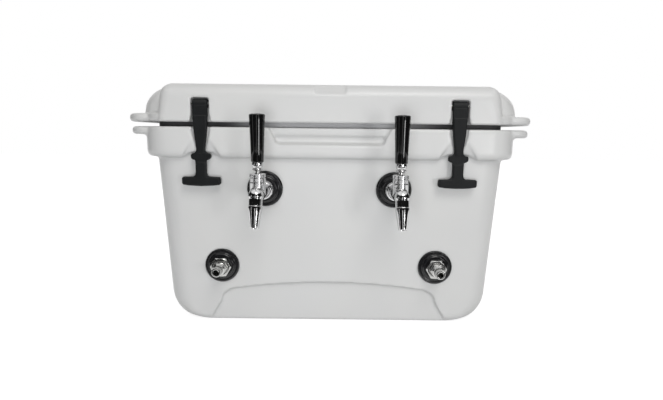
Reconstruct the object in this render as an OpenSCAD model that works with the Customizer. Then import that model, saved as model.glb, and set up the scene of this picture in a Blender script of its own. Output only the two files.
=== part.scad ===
// Insulated drinks cooler with two beer taps, two inlets and a cooling coil for each tap.
// X runs to the right, the front faces -Y, Z is up. The origin is the centre of the underside.

/* [Tub] */
// Outside width of the tub just under its collar
tub_w = 625; // [600:1:660]
// Outside depth of the tub just under its collar
tub_d = 414; // [395:1:440]
// Height of the tub up to its collar
tub_h = 306; // [296:1:320]
// Lean of every wall, in degrees
draft = 3; // [2:0.5:4]
// Thickness of the insulated walls
wall_t = 45; // [38:1:50]
// Thickness of the insulated floor
floor_t = 45; // [40:1:55]
// Radius of the upright corners of the tub
tub_corner_r = 44; // [38:1:55]
// Radius between the underside and the end walls
base_end_r = 50; // [40:1:60]
// Radius between the underside and the front and rear walls
base_front_r = 16; // [8:1:20]
// Radius of the upright corners of the ice space
cavity_corner_r = 34; // [24:1:40]
// Radius between the floor and the walls of the ice space
cavity_floor_r = 16; // [8:1:20]

/* [Foot arch] */
// Height of the shallow arch at its middle
arch_h = 78; // [70:1:86]
// Height of the arch at its shoulders
arch_shoulder_h = 61; // [52:1:66]
// Width of the arch at the underside
arch_base_w = 444; // [400:2:460]
// Width of the arch at its shoulders
arch_shoulder_w = 396; // [360:2:420]
// Radius of the arch's shoulders
arch_shoulder_r = 20; // [12:1:26]
// Depth of the arch in the wall
arch_depth = 7; // [3:0.5:10]

/* [Collar and rim] */
// How far the collar stands out from the end walls
collar_out = 18.5; // [14:0.5:24]
// How far the collar stands out from the front and rear walls
collar_front_out = 13; // [11:0.5:16]
// Height of the collar up to the rim
collar_h = 39; // [34:1:46]
// Thickness of the rim and of the side ears
rim_t = 14; // [12:0.5:18]
// Radius of the collar's upright corners
collar_corner_r = 56; // [46:1:64]
// How far the side ears stand out past the collar
ear_out = 35; // [28:1:42]
// Length of the side ears, front to back
ear_len = 396; // [360:2:400]
// Radius of the ears' corners
ear_corner_r = 42; // [36:1:50]

/* [Hand recess] */
// Width of the hand recess at the rim
grip_top_w = 214; // [180:2:220]
// Width of the hand recess at its lower edge
grip_w = 192; // [160:2:200]
// Height of the hand recess below the rim's top
grip_h = 31; // [26:1:34]
// Depth of the hand recess in the collar
grip_depth = 10; // [6:0.5:11]
// Depth of the finger groove behind the recess
grip_groove_depth = 7; // [4:0.5:9]
// Height of the finger groove
grip_groove_h = 10; // [8:0.5:12]

/* [Lid] */
// Gap between the tub's rim and the lid
lid_gap = 8; // [6:0.5:10]
// Thickness of the lid's rim and ears
lid_rim_t = 15; // [13:0.5:18]
// Height of the lid's crown above its rim
crown_h = 51; // [46:1:60]
// Width of the crown at the front face
crown_w = 596; // [570:2:604]
// Lean of the crown's end faces, in degrees
crown_lean = 3; // [2:0.5:7]
// Radius over the crown's top edges
crown_top_r = 24; // [18:1:30]
// Radius of the crown's upright corners
crown_corner_r = 14; // [8:1:18]
// Width over the crown's round end shoulders
shoulder_w = 680; // [650:2:692]
// Length of the end shoulders, front to back
shoulder_len = 392; // [350:2:396]
// How much further the lid's ears reach than the tub's
lid_ear_more = 4; // [0:0.5:8]
// How far the lid's rim stands back from the crown's front face
lid_rim_back = 2; // [0.5:0.5:4]
// Width of the flat recess in the middle of the crown's front edge
recess_w = 50; // [40:1:70]
// Depth of the recess
recess_depth = 3.5; // [2:0.5:5]
// Lean of the recess's two ends, as width for each millimetre of depth
recess_side = 1; // [0.5:0.1:2]

/* [Gasket] */
// Width of the gasket
gasket_w = 12; // [8:0.5:14]
// How far the gasket's middle lies inside the collar's outline
gasket_inset = 28; // [27:0.5:30]
// Depth of the gasket's groove in the lid
gasket_groove_h = 3; // [2:0.5:5]
// Gap between the closed gasket and the tub's rim
gasket_play = 0.3; // [0.2:0.05:0.5]

/* [Hinge] */
// Distance of each hinge from the middle
hinge_x = 190; // [150:2:220]
// Distance from the collar's rear face to the hinge axis
hinge_back = 10; // [9:0.5:13]
// Diameter of the hinge rods
hinge_rod_d = 6; // [5:0.5:8]
// Thickness of the knuckles round the rod
knuckle_wall = 4; // [3:0.25:5]
// Width of the lid's knuckle
lid_knuckle_w = 60; // [40:2:80]
// Width of each of the tub's knuckles
tub_knuckle_w = 25; // [16:1:32]
// Gap between neighbouring knuckles
knuckle_gap = 0.6; // [0.4:0.1:1.2]

/* [Latches] */
// Distance of each latch from the middle
latch_x = 222; // [205:1:232]
// Height of the latch pin above the lid's underside
latch_pin_up = 31; // [28:0.5:34]
// Diameter of the latch pin
latch_pin_d = 5; // [4:0.5:6]
// Depth of the latch pin's seats in the lid
pin_seat = 8; // [5:0.5:12]
// Radius of the strap's rolled top
roll_r = 8; // [7:0.25:9]
// Width of the strap at its top
strap_w = 25; // [24:0.5:30]
// Width of the strap at its neck above the cross wings
strap_neck_w = 14.5; // [12:0.5:18]
// Thickness of the strap
strap_t = 8; // [6:0.5:8]
// Width of the cross wings that hook under the collar
wing_w = 34; // [30:0.5:38]
// Height of the cross wings
wing_h = 13; // [10:0.5:15]
// Thickness of the cross wings
wing_t = 11; // [9:0.5:12]
// Width of the tail between wings and pull bar
tail_w = 19; // [15:0.5:22]
// Width of the pull bar
pull_w = 67; // [56:1:74]
// Height of the pull bar
pull_h = 16.5; // [13:0.5:19]
// Distance from the latch pin down to the middle of the pull bar
pull_drop = 133; // [126:1:140]
// Width of the latch slot in the lid
slot_w = 31; // [30.5:0.5:34]
// Gap between the strap and the slots it lies in
latch_play = 1.2; // [0.8:0.1:2]
// Gap between the wings and the collar's hook edge
hook_play = 2; // [1.5:0.25:3]
// Thickness of the hook edges that hold the wings
hook_t = 7; // [5:0.5:10]
// Width of the flared pocket at the collar's lower edge
flare_w = 70; // [60:1:76]
// Depth of the slanted cheeks at the collar's lower edge
cheek_depth = 8; // [4:0.5:9]

/* [Taps] */
// Distance of each tap from the middle
tap_x = 113.8; // [108:0.2:120]
// Height of the tap's shank
tap_z = 252; // [246:1:254]
// Distance from the wall to the tap's lever
tap_reach = 82; // [80:1:92]
// Diameter of the tap's flange
flange_d = 63; // [56:0.5:66]
// Thickness of the flange's rim
flange_t = 5.5; // [4:0.5:8]
// Height of the raised step in front of the flange's rim
flange_step_t = 3.5; // [2:0.5:5]
// Diameter of the raised step
flange_step_d = 46; // [40:0.5:48]
// Diameter of the shank
shank_d = 22.2; // [20:0.2:23]
// Diameter of the beer way
beer_d = 8; // [6:0.5:9]
// Diameter of the coupling nut
coupling_d = 32; // [30:0.5:34]
// Length of the coupling nut
coupling_l = 22; // [20:0.5:24]
// Diameter of the faucet's barrel
barrel_d = 24; // [24:0.25:26]
// Distance from the lever's axis forward to the spout's axis
spout_forward = 20; // [19:0.5:23]
// Lean of the spout, in degrees
spout_lean = 18; // [12:1:22]
// Length of the faucet's spout boss, from the barrel's axis
boss_l = 17; // [15:0.5:20]
// Length of the spout below its boss
spout_l = 34; // [28:1:40]
// Diameter of the spout's collar
spout_d = 22.5; // [21:0.25:24]
// Diameter of the spout at its tip
spout_tip_d = 14.4; // [13:0.2:16]
// Diameter of the spout's bore
spout_bore_d = 10; // [8:0.25:10.5]

/* [Tap lever] */
// Height of the lever's ball above the shank's axis
ball_up = 24; // [24:0.5:26]
// Diameter of the lever's ball
ball_d = 15; // [14.5:0.1:15.4]
// Diameter of the lever's stem
stem_d = 7; // [6:0.25:7.4]
// Diameter of the arm below the ball
arm_d = 4.4; // [4:0.1:4.6]
// Diameter of the tip that drives the shuttle
tip_d = 6.8; // [6:0.1:7]
// Diameter of the stud in the ferrule and the handle
stud_d = 9.5; // [8:0.1:10.5]
// Height of the bonnet
bonnet_h = 12; // [12:0.25:12.5]
// Diameter of the bonnet
bonnet_d = 27; // [26:0.25:28]
// Gap between the bonnet and the ferrule
ferrule_gap = 6; // [5.5:0.25:8]
// Height of the ferrule
ferrule_h = 13.5; // [10:0.5:16]
// Diameter of the ferrule
ferrule_d = 18; // [16:0.25:19]
// Length of the handle
handle_l = 76; // [60:0.5:90]
// Diameter of the handle at its foot
handle_foot_d = 20; // [18:0.1:21]
// Diameter of the handle at its top
handle_top_d = 25.4; // [22:0.1:27]
// How far the lever swings forward, in degrees
lever_swing = 22; // [18:1:22]

/* [Shuttle] */
// Diameter of the shuttle
shuttle_d = 12.8; // [12.4:0.1:12.8]
// Length of the shuttle
shuttle_l = 38; // [34:0.5:38]
// Distance from the lever's axis forward to the shuttle's front
shuttle_front = 14; // [12:0.5:14]
// Running gap round every turning or sliding tap piece
run_gap = 0.05; // [0.03:0.01:0.08]
// Thickness of the shuttle's seal
seal_t = 2; // [1.5:0.25:2.25]

/* [Inlets] */
// Distance of each inlet from the middle
inlet_x = 194; // [186:1:198]
// Height of each inlet
inlet_z = 109.5; // [104:0.5:116]
// Diameter of the inlet's flange
inlet_flange_d = 62; // [56:0.5:66]
// Diameter of the bulkhead tube
bulkhead_d = 18; // [16:0.2:20]
// Distance across the flats of the outer nut
inlet_nut_af = 33; // [30:0.5:36]
// Thickness of the outer nut
inlet_nut_t = 10; // [8:0.5:12]
// Diameter of the nipple
nipple_d = 17; // [16:0.2:19]
// Length of the nipple in front of the outer nut
nipple_l = 32; // [28:0.5:36]
// Diameter of the nipple's bore
nipple_bore_d = 10; // [8:0.25:11]

/* [Inner fittings] */
// Thickness of the lock nuts inside the tub
lock_t = 8; // [6:0.5:10]
// Distance across the flats of the lock nuts
lock_af = 31; // [29:0.5:33]
// How far each tube reaches past its lock nut
tube_past = 6; // [4:0.5:8]
// Diameter of the stub that takes the union
stub_d = 14; // [12:0.5:15]
// Length of the stub that takes the union
stub_l = 5; // [4:0.5:7]
// Distance across the flats of the union
union_af = 22; // [20:0.5:24]
// Length of the union
union_l = 16; // [12:0.5:20]
// Play between threaded pieces
thread_play = 0.05; // [0.03:0.01:0.1]
// Play between a tube and its hole in the wall
hole_play = 0.2; // [0.1:0.05:0.4]

/* [Cooling coil] */
// Diameter of the coil's tube
tube_d = 9.5; // [8:0.1:9.5]
// Mean diameter of the coil
coil_d = 200; // [180:2:204]
// Distance of each coil's axis from the middle
coil_x = 130; // [126:1:132]
// Whole turns of the coil
coil_turns = 11; // [9:1:12]
// How far the rising tail runs outside the coil
tail_out = 11; // [10:0.5:14]
// Gap between the coil and the floor
coil_lift = 0.3; // [0.1:0.1:0.5]

/* [Drain] */
// Distance of the drain from the middle, on the rear wall
drain_x = 205; // [180:1:215]
// Height of the drain
drain_z = 64; // [63:1:70]
// Diameter of the drain fitting
drain_d = 30; // [26:0.5:32]
// Diameter of the drain's bore
drain_bore_d = 22; // [18:0.5:23]
// Diameter of the drain's outer flange
drain_flange_d = 46; // [42:0.5:48]
// Thickness of the drain's outer flange
drain_flange_t = 4; // [3:0.5:6]
// Thickness of the drain's inner nut
drain_nut_t = 6; // [4:0.5:8]
// Length of the plug's shaft inside the fitting
plug_l = 22; // [18:0.5:28]
// Diameter of the plug's head
plug_head_d = 40; // [36:0.5:42]
// Thickness of the plug's head
plug_head_t = 8; // [6:0.5:10]
// Thickness of the plug's seal
plug_seal_t = 2.5; // [2:0.25:4]

/* [Hidden] */

left = -1;
right = 1;
cut = 1;              // how far a cutter reaches past the face it opens
fine = 48;            // facets round a small turned piece
corner_fn = 40;       // facets round the corners of the moulded shells

// Heights of the shells
rim_z = tub_h + collar_h;
rim_top = rim_z + rim_t;
lid_z = rim_top + lid_gap;
lid_rim_top = lid_z + lid_rim_t;
lid_top = lid_rim_top + crown_h;

// Half sizes of the shells in plan
collar_half_x = tub_w / 2 + collar_out;
face_y = tub_d / 2 + collar_front_out;
ear_half_x = collar_half_x + ear_out;

// Half width and half depth of the leaning walls at height z
function side_x(z) = tub_w / 2 - (tub_h - z) * tan(draft);
function front_y(z) = tub_d / 2 - (tub_h - z) * tan(draft);
// How far an edge of radius r draws in at height z above the underside
function edge_inset(z, r) = z >= r ? 0 : r - sqrt(r * r - (r - z) * (r - z));

// Hinge
hinge_y = face_y + hinge_back;
hinge_z = rim_top + lid_gap / 2;
knuckle_r = hinge_rod_d / 2 + knuckle_wall;
rod_l = lid_knuckle_w + 2 * (knuckle_gap + tub_knuckle_w);

// Latch: the strap hangs from a pin in the lid's slot
latch_pin_z = lid_z + latch_pin_up;
strap_front = face_y + 1;
latch_pin_y = strap_front - roll_r;
slot_back = latch_pin_y - roll_r - latch_play;
slot_top = latch_pin_z + roll_r + 2;
hook_z = tub_h + 9;
wing_top = hook_z - hook_play;
channel_back = strap_front - strap_t - latch_play;
neck_slot_w = strap_neck_w + 2 * latch_play;

// Tap: distances forward of the middle plane
tap_seat = front_y(tap_z - flange_d / 2);
lock_d = lock_af / cos(30);
tap_inner_seat = front_y(tap_z + lock_d / 2) - wall_t;
tap_tube_end = tap_inner_seat - lock_t - tube_past;
tap_union_face = tap_tube_end - union_l;
lever_f = front_y(tap_z) + tap_reach;
coupling_f = tap_seat + flange_t + flange_step_t + 0.5;
coupling_lip_t = 3;
tail_t = 4;
washer_t = 1.5;
tail_f = coupling_f + coupling_l - coupling_lip_t - tail_t;
shank_f = tail_f - washer_t;
neck_r = 9;
barrel_r = barrel_d / 2;
barrel_f = coupling_f + coupling_l + 6;
spout_f = lever_f + spout_forward;
ball_z = tap_z + ball_up;
ball_r = ball_d / 2;
socket_r = ball_r + run_gap;
collar_up = ball_up - 4;             // the body's collar ends below the middle of the ball
seat_up = ball_up - 4.6;             // height of the ball's seat
seat_r = sqrt(ball_r * ball_r - pow(ball_up - seat_up, 2)) + run_gap + 0.03;
lip_up = 4.6;                        // height of the bonnet's lip above the middle of the ball
lip_r = sqrt(ball_r * ball_r - lip_up * lip_up) + run_gap + 0.03;
ferrule_z = tap_z + collar_up + bonnet_h + ferrule_gap;
handle_z = ferrule_z + ferrule_h;
chamber_r = shuttle_d / 2 + run_gap;
shuttle_f = lever_f + shuttle_front;
chamber_f = shuttle_f + seal_t + 0.3;
tip_slot = tip_d + 1.2;

// Inlet: distances forward of the middle plane
inlet_seat = front_y(inlet_z - inlet_flange_d / 2);
inlet_inner_seat = front_y(inlet_z + lock_d / 2) - wall_t;
inlet_tube_end = inlet_inner_seat - lock_t - tube_past;
inlet_union_face = inlet_tube_end - union_l;
inlet_nut_f = inlet_seat + flange_t + flange_step_t;
inlet_front_f = inlet_nut_f + inlet_nut_t;

// Drain: distances behind the middle plane
drain_seat = front_y(drain_z - drain_flange_d / 2);
drain_nut_d = drain_d + 10;
drain_inner_seat = front_y(drain_z + drain_nut_d / 2) - wall_t;

// A stack of rounded rectangles, each given as [half x, half y, height], in one smooth block
module stack(rings, r) {
    steps = corner_fn / 4;
    ring_points = 4 * (steps + 1);
    hull()
        polyhedron(
            points = [for (ring = rings, quarter = [0 : 3], k = [0 : steps])
                let (a = 90 * (quarter + k / steps), sx = quarter == 0 || quarter == 3 ? 1 : -1,
                     sy = quarter < 2 ? 1 : -1)
                [sx * (ring[0] - r) + r * cos(a), sy * (ring[1] - r) + r * sin(a), ring[2]]],
            faces = [for (n = [0 : len(rings) - 1]) [for (k = [0 : ring_points - 1]) n * ring_points + k]]);
}

// A flat rounded rectangle, given by its half sizes
module rounded_plan(half_x, half_y, r) {
    square([2 * half_x, 2 * (half_y - r)], center = true);
    square([2 * (half_x - r), 2 * half_y], center = true);
    for (sx = [-1, 1], sy = [-1, 1])
        translate([sx * (half_x - r), sy * (half_y - r)])
            circle(r = r, $fn = corner_fn);
}

// Places a piece drawn along +Z so that it points forward from distance f
module forward(x, f, z) {
    translate([x, -f, z])
        rotate([90, 0, 0])
            children();
}

// Places a piece drawn along +Z so that it points to the rear from distance f
module rearward(x, f, z) {
    translate([x, f, z])
        rotate([-90, 0, 0])
            children();
}

module pipe(r_out, r_in, h) {
    difference() {
        cylinder(r = r_out, h = h, $fn = fine);
        translate([0, 0, -cut])
            cylinder(r = r_in, h = h + 2 * cut, $fn = fine);
    }
}

module hex_nut(af, bore_r, h) {
    difference() {
        intersection() {
            cylinder(d = af / cos(30), h = h, $fn = 6);
            turned([[0, 0], [af / 2, 0], [af / 2 + 1.5, 1.5], [af / 2 + 1.5, h - 1.5], [af / 2, h], [0, h]]);
        }
        translate([0, 0, -cut])
            cylinder(r = bore_r, h = h + 2 * cut, $fn = fine);
    }
}

// Turns a profile of [radius, height] points
module turned(profile) {
    rotate_extrude($fn = fine)
        polygon(profile);
}

// Plain ring of the rim: a slab with a round edge, carried out to the ears
module ear_slab(half_x, z, t) {
    edge = t / 2 - 0.5;
    hull()
        for (sx = [-1, 1], sy = [-1, 1])
            translate([sx * (half_x - ear_corner_r), sy * (ear_len / 2 - ear_corner_r), z])
                rotate_extrude($fn = corner_fn)
                    polygon(concat(
                        [[0, 0]],
                        [for (a = [-90 : 15 : 0]) [ear_corner_r - edge + edge * cos(a), edge + edge * sin(a)]],
                        [for (a = [0 : 15 : 90]) [ear_corner_r - edge + edge * cos(a), t - edge + edge * sin(a)]],
                        [[0, t]]));
}

/* ---------- tub ---------- */

base_levels = [0, 1.6, 4, 7.5, 12, 18, 26, 37, 50];

module tub_block() {
    stack(concat(
        [for (k = base_levels)
            let (z = k * base_end_r / 50)
            [side_x(z) - edge_inset(z, base_end_r), front_y(z) - edge_inset(z, base_front_r), z]],
        [[side_x(tub_h + 2), front_y(tub_h + 2), tub_h + 2]]),
        tub_corner_r);
}

module collar_block() {
    stack([for (step = [[7, tub_h], [3.4, tub_h + 1.6], [1, tub_h + 5.5], [0, tub_h + 11],
                        [0, rim_top - 3.5], [1, rim_top - 1], [3.5, rim_top - 0.01]])
              [collar_half_x - step[0], face_y - step[0], step[1]]],
        collar_corner_r);
}

module ice_space() {
    stack(concat(
        [for (k = [0, 0.12, 0.35, 0.65, 1])
            let (z = floor_t + k * cavity_floor_r, draw = edge_inset(k * cavity_floor_r, cavity_floor_r))
            [side_x(z) - wall_t - draw, front_y(z) - wall_t - draw, z]],
        [[side_x(rim_top + cut) - wall_t, front_y(rim_top + cut) - wall_t, rim_top + cut]]),
        cavity_corner_r);
}

// Outline of the shallow arch between the corner feet, seen from the front
function arch_outline() =
    let (half = arch_shoulder_w / 2, rise = arch_h - arch_shoulder_h,
         top_r = (half * half + rise * rise) / (2 * rise),
         corner = [half - arch_shoulder_r, arch_shoulder_h - arch_shoulder_r],
         sweep = asin((half - arch_shoulder_r) / top_r))
    concat(
        [[-arch_base_w / 2, -cut]],
        [for (a = [180 : -15 : 105]) [-corner[0] + arch_shoulder_r * cos(a), corner[1] + arch_shoulder_r * sin(a)]],
        [for (a = [-sweep : sweep / 12 : sweep]) [top_r * sin(a), arch_h - top_r + top_r * cos(a)]],
        [for (a = [75 : -15 : 0]) [corner[0] + arch_shoulder_r * cos(a), corner[1] + arch_shoulder_r * sin(a)]],
        [[arch_base_w / 2, -cut]]);

module arch_cut() {
    intersection() {
        rotate([90, 0, 0])
            translate([0, 0, front_y(0) / 2])
                linear_extrude(face_y)
                    polygon(arch_outline());
        rotate([90, 0, 90])
            translate([0, 0, -arch_base_w])
                linear_extrude(2 * arch_base_w)
                    polygon([[arch_depth - front_y(-cut), -cut], [arch_depth - front_y(arch_h + cut), arch_h + cut],
                             [-face_y - cut, arch_h + cut], [-face_y - cut, -cut]]);
    }
}

// Hand recess under the lid's edge, with a finger groove behind it
module grip_cut() {
    low = rim_top - grip_h;
    r = 12;
    intersection() {
        rotate([90, 0, 0])
            translate([0, 0, face_y - 3 * grip_depth])
                linear_extrude(4 * grip_depth)
                    polygon(concat(
                        [[-grip_top_w / 2, rim_top + cut]],
                        [for (a = [180 : 15 : 270]) [-grip_w / 2 + r + r * cos(a), low + r + r * sin(a)]],
                        [for (a = [270 : 15 : 360]) [grip_w / 2 - r + r * cos(a), low + r + r * sin(a)]],
                        [[grip_top_w / 2, rim_top + cut]]));
        rotate([90, 0, 90])
            translate([0, 0, -grip_top_w])
                linear_extrude(2 * grip_top_w)
                    polygon([[-face_y - cut, low - 2],
                             [-face_y + 1.5, low + 1],
                             [grip_depth - face_y, low + 5],
                             [grip_depth + grip_groove_depth - face_y, low + 6],
                             [grip_depth + grip_groove_depth - face_y, low + 6 + grip_groove_h],
                             [grip_depth - face_y, low + 8 + grip_groove_h],
                             [grip_depth - 1.5 - face_y, rim_top + cut],
                             [-face_y - cut, rim_top + cut]]);
    }
}

// Channel for a latch strap: wide at the rim, narrow at the hook edges, flared below them
module keeper_cut(side) {
    translate([side * latch_x, 0, 0]) {
        forward(0, channel_back, 0)
            linear_extrude(face_y)
                polygon([[-slot_w / 2, rim_top + cut], [-slot_w / 2, rim_top - 8],
                         [-neck_slot_w / 2, hook_z + hook_t], [-neck_slot_w / 2, hook_z - cut],
                         [neck_slot_w / 2, hook_z - cut], [neck_slot_w / 2, hook_z + hook_t],
                         [slot_w / 2, rim_top - 8], [slot_w / 2, rim_top + cut]]);
        intersection() {
            forward(0, front_y(tub_h), 0)
                linear_extrude(face_y)
                    polygon([[-flare_w / 2, tub_h - cut], [-wing_w / 2 - latch_play, hook_z],
                             [wing_w / 2 + latch_play, hook_z], [flare_w / 2, tub_h - cut]]);
            rotate([90, 0, 90])
                translate([0, 0, -flare_w])
                    linear_extrude(2 * flare_w)
                        polygon([[-front_y(tub_h), tub_h - cut], [-front_y(tub_h), hook_z],
                                 [-face_y - cut, hook_z], [-face_y - cut, tub_h - cut]]);
        }
        cheek_cuts();
    }
}

// Slanted cheeks beside the channel, wider and deeper towards the collar's lower edge
module cheek_cuts() {
    top = rim_top - 20;
    low = tub_h - cut;
    intersection() {
        forward(0, front_y(tub_h), 0)
            linear_extrude(face_y)
                polygon([[-slot_w / 2 + 1, top], [-flare_w / 2, low], [flare_w / 2, low], [slot_w / 2 - 1, top]]);
        rotate([90, 0, 90])
            translate([0, 0, -flare_w])
                linear_extrude(2 * flare_w)
                    polygon([[-face_y, top], [cheek_depth - face_y, low], [-face_y - cut, low], [-face_y - cut, top]]);
    }
}

// A knuckle round the hinge rod, with a web to the shell it belongs to
module knuckle(w, web) {
    rotate([90, 0, 90])
        translate([0, 0, -w / 2])
            linear_extrude(w)
                union() {
                    translate([hinge_y, hinge_z])
                        circle(r = knuckle_r, $fn = fine);
                    polygon(web);
                }
}

module hinge_bore(x, r) {
    translate([x - rod_l, hinge_y, hinge_z])
        rotate([0, 90, 0])
            cylinder(r = r, h = 2 * rod_l, $fn = fine);
}

module tub_knuckles(side) {
    step = (lid_knuckle_w + tub_knuckle_w) / 2 + knuckle_gap;
    for (x = [-step, step])
        translate([side * hinge_x + x, 0, 0])
            knuckle(tub_knuckle_w,
                [[face_y - 5, rim_z - 6], [hinge_y + knuckle_r * 0.707, hinge_z - knuckle_r * 0.707],
                 [hinge_y - knuckle_r * 0.94, hinge_z + knuckle_r * 0.34], [face_y - 5, rim_top - 4]]);
}

module wall_hole(x, z, tube_r, seat, flange_r, inner_seat, inner_r) {
    hole = tube_r + hole_play;
    translate([x, 0, z]) {
        forward(0, inner_seat - wall_t / 2, 0)
            cylinder(r = hole, h = 2 * wall_t, $fn = fine);
        forward(0, seat, 0)
            cylinder(r = flange_r + 0.3, h = wall_t / 2, $fn = fine);
        forward(0, inner_seat - wall_t / 3, 0)
            cylinder(r = inner_r + 0.5, h = wall_t / 3, $fn = fine);
    }
}

module tub() {
    color("whitesmoke")
        difference() {
            union() {
                tub_block();
                collar_block();
                ear_slab(ear_half_x, rim_z, rim_t);
                for (side = [left, right])
                    tub_knuckles(side);
            }
            ice_space();
            arch_cut();
            mirror([0, 1, 0])
                arch_cut();
            grip_cut();
            for (side = [left, right]) {
                keeper_cut(side);
                hinge_bore(side * hinge_x, hinge_rod_d / 2 + run_gap);
                wall_hole(side * tap_x, tap_z, shank_d / 2, tap_seat, flange_d / 2,
                    tap_inner_seat, lock_d / 2);
                wall_hole(side * inlet_x, inlet_z, bulkhead_d / 2, inlet_seat, inlet_flange_d / 2,
                    inlet_inner_seat, lock_d / 2);
            }
            mirror([0, 1, 0])
                wall_hole(drain_x, drain_z, drain_d / 2, drain_seat, drain_flange_d / 2,
                    drain_inner_seat, drain_nut_d / 2);
        }
}

/* ---------- lid ---------- */

module lid_rim() {
    half_y = face_y - lid_rim_back;
    stack([for (step = [[4, 0], [1.2, 1.2], [0, 4], [0, lid_rim_t - 2], [2, lid_rim_t]])
              [collar_half_x - step[0], half_y - step[0], lid_z + step[1]]],
        collar_corner_r);
}

module crown() {
    half_top = crown_w / 2 - (crown_h - crown_top_r) * tan(crown_lean);
    hull() {
        for (sx = [-1, 1], sy = [-1, 1]) {
            translate([sx * (crown_w / 2 - crown_corner_r), sy * (face_y - crown_corner_r), lid_z]) {
                cylinder(r = crown_corner_r - 2, h = cut, $fn = corner_fn);
                translate([0, 0, 2])
                    cylinder(r = crown_corner_r, h = cut, $fn = corner_fn);
            }
            translate([sx * (half_top - crown_top_r), sy * (face_y - crown_top_r), lid_top - crown_top_r])
                sphere(r = crown_top_r, $fn = corner_fn);
        }
    }
}

// Flat recess in the middle of the crown's round front edge, with leaning ends
module crown_recess() {
    in = crown_top_r * (1 - sqrt(0.5));
    out = recess_w / 2 + (recess_depth + 3) * recess_side;
    translate([0, in - face_y, lid_top - in])
        rotate([45, 0, 0])
            rotate([90, 0, 0])
                linear_extrude(3 * crown_top_r, center = true)
                    polygon([[-recess_w / 2, -recess_depth], [recess_w / 2, -recess_depth], [out, 3], [-out, 3]]);
}

// Round shoulders at the lid's ends, set back from its front and rear
module shoulders() {
    r = crown_h - 1;
    hull()
        for (sx = [-1, 1], sy = [-1, 1])
            translate([sx * (shoulder_w / 2 - r), sy * (shoulder_len / 2 - r), lid_rim_top - 0.5])
                rotate_extrude($fn = corner_fn)
                    intersection() {
                        circle(r = r, $fn = corner_fn);
                        square([r, r]);
                    }
}

module latch_slot(side) {
    translate([side * latch_x, 0, 0]) {
        forward(0, slot_back, 0)
            linear_extrude(face_y)
                polygon([[-slot_w / 2 - 3, lid_z - cut], [-slot_w / 2 - 2.4, lid_z + 3],
                         [-slot_w / 2, lid_z + 13], [-slot_w / 2, slot_top],
                         [slot_w / 2, slot_top], [slot_w / 2, lid_z + 13],
                         [slot_w / 2 + 2.4, lid_z + 3], [slot_w / 2 + 3, lid_z - cut]]);
        translate([-slot_w / 2 - pin_seat, -latch_pin_y, latch_pin_z])
            rotate([0, 90, 0])
                cylinder(d = latch_pin_d + 2 * run_gap, h = slot_w + 2 * pin_seat, $fn = fine);
    }
}

module lid() {
    color("whitesmoke")
        difference() {
            union() {
                lid_rim();
                ear_slab(ear_half_x + lid_ear_more, lid_z, lid_rim_t);
                crown();
                shoulders();
                for (side = [left, right])
                    translate([side * hinge_x, 0, 0])
                        knuckle(lid_knuckle_w,
                            [[face_y - 5, lid_z + 2], [hinge_y - knuckle_r, hinge_z],
                             [hinge_y + knuckle_r * 0.707, hinge_z + knuckle_r * 0.707],
                             [face_y - 5, lid_rim_top + 6]]);
            }
            for (side = [left, right]) {
                latch_slot(side);
                hinge_bore(side * hinge_x, hinge_rod_d / 2 + run_gap);
            }
            crown_recess();
            translate([0, 0, lid_z - cut])
                linear_extrude(gasket_groove_h + cut)
                    gasket_plan(gasket_w / 2 + 0.2);
        }
}

module gasket_plan(half_w) {
    half_x = collar_half_x - gasket_inset;
    half_y = face_y - gasket_inset;
    r = collar_corner_r - gasket_inset;
    difference() {
        rounded_plan(half_x + half_w, half_y + half_w, r + half_w);
        rounded_plan(half_x - half_w, half_y - half_w, r - half_w);
    }
}

module lid_gasket() {
    color("dimgray")
        translate([0, 0, rim_top + gasket_play])
            linear_extrude(lid_gap - gasket_play + gasket_groove_h - 0.05)
                gasket_plan(gasket_w / 2);
}

module hinge_rod(side) {
    color("silver")
        translate([side * hinge_x - rod_l / 2, hinge_y, hinge_z])
            rotate([0, 90, 0])
                cylinder(d = hinge_rod_d, h = rod_l, $fn = fine);
}

/* ---------- latches ---------- */

module latch_pin(side) {
    l = slot_w + 2 * pin_seat - 0.5;
    color("silver")
        translate([side * latch_x - l / 2, -latch_pin_y, latch_pin_z])
            rotate([0, 90, 0])
                cylinder(d = latch_pin_d, h = l, $fn = fine);
}

module latch_strap(side) {
    pull_z = latch_pin_z - pull_drop;
    wing_low = wing_top - wing_h;
    color("darkslategray")
        translate([side * latch_x, 0, 0])
            difference() {
                union() {
                    // rolled top
                    translate([-strap_w / 2, -latch_pin_y, latch_pin_z])
                        rotate([0, 90, 0])
                            cylinder(r = roll_r, h = strap_w, $fn = fine);
                    // tapering strap
                    forward(0, strap_front - strap_t, 0)
                        linear_extrude(strap_t)
                            polygon([[-strap_w / 2, latch_pin_z], [-strap_w / 2 + 0.6, lid_z + 8],
                                     [-strap_w / 2 + 1, rim_top - 2], [-strap_neck_w / 2, hook_z + hook_t - 3],
                                     [-strap_neck_w / 2, wing_top - 2], [strap_neck_w / 2, wing_top - 2],
                                     [strap_neck_w / 2, hook_z + hook_t - 3], [strap_w / 2 - 1, rim_top - 2],
                                     [strap_w / 2 - 0.6, lid_z + 8], [strap_w / 2, latch_pin_z]]);
                    // cross wings
                    forward(0, strap_front - wing_t, 0)
                        linear_extrude(wing_t)
                            wing_outline(wing_low);
                    // tail
                    forward(0, strap_front - strap_t + 0.5, 0)
                        linear_extrude(strap_t)
                            polygon([[-tail_w / 2, pull_z], [-tail_w / 2, wing_low + 3],
                                     [tail_w / 2, wing_low + 3], [tail_w / 2, pull_z]]);
                    // pull bar with round ends
                    pull_bar(pull_z);
                }
                translate([-strap_w, -latch_pin_y, latch_pin_z])
                    rotate([0, 90, 0])
                        cylinder(d = latch_pin_d + 2 * run_gap, h = 2 * strap_w, $fn = fine);
            }
}

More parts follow.
